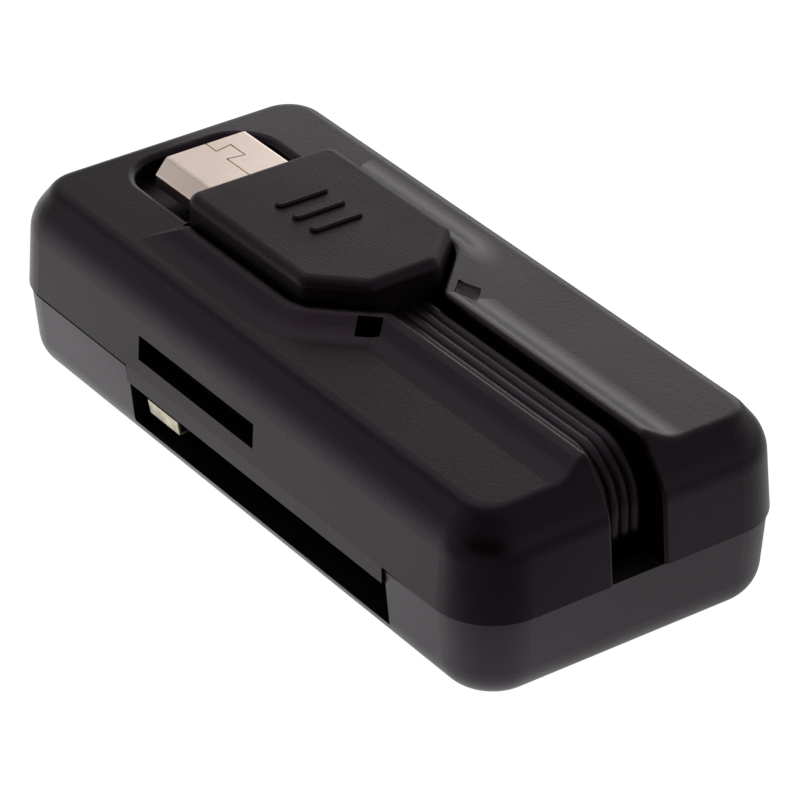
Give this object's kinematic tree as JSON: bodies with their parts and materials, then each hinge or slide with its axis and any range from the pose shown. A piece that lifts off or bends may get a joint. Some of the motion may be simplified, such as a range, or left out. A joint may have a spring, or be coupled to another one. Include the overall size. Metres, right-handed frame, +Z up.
{
  "type": "memory card reader",
  "caption": "Pocket memory card reader: black two-part housing with a large and a small card slot, and a plug on a short flat lead that stows in a pocket on top.",
  "frame": {"origin": "middle of the underside", "axes": "+X along the length, from the plug tip to the bend of the lead; -Y towards the card slots; +Z up"},
  "size_m": [0.0466, 0.0208, 0.0138],
  "materials": {
    "housing_plastic": "satin moulded black with a fine grain",
    "grip_rubber": "pebbled matt black",
    "lead_jacket": "smooth satin black",
    "plug_metal": "nickel plated, warm",
    "can_metal": "plain tinned sheet",
    "contact_gold": "gold plated",
    "socket_plastic": "moulded black insulator",
    "board_laminate": "green solder mask",
    "chip_resin": "moulded resin",
    "ceramic": "fired ceramic",
    "wire_copper": "tinned copper"
  },
  "bodies": {
    "housing": {"upper_shell": "housing_plastic", "lower_shell": "housing_plastic", "circuit_board": "board_laminate", "controller_chip": "chip_resin", "crystal": "can_metal", "capacitors": "ceramic", "resistors": "chip_resin", "card_block": "socket_plastic", "card_contacts": "contact_gold", "card_spring": "contact_gold", "small_card_base": "socket_plastic", "small_card_cover": "can_metal", "small_card_contacts": "contact_gold", "lead_bend": "lead_jacket", "lead_root": "lead_jacket", "lead_wires": "wire_copper"},
    "plug": {"plug_grip": "grip_rubber", "plug_shell": "plug_metal", "plug_tongue": "socket_plastic", "plug_contacts": "contact_gold", "plug_latches": "plug_metal", "lead_run": "lead_jacket"}
  },
  "joints": [
    {"name": "lead_flex", "type": "hinge", "parent": "housing", "child": "plug", "pos_m": [0.0212, 0, 0.01115], "axis": [0, 1, 0], "range_deg": [0, 180], "deforming": ["lead_bend"]}
  ]
}
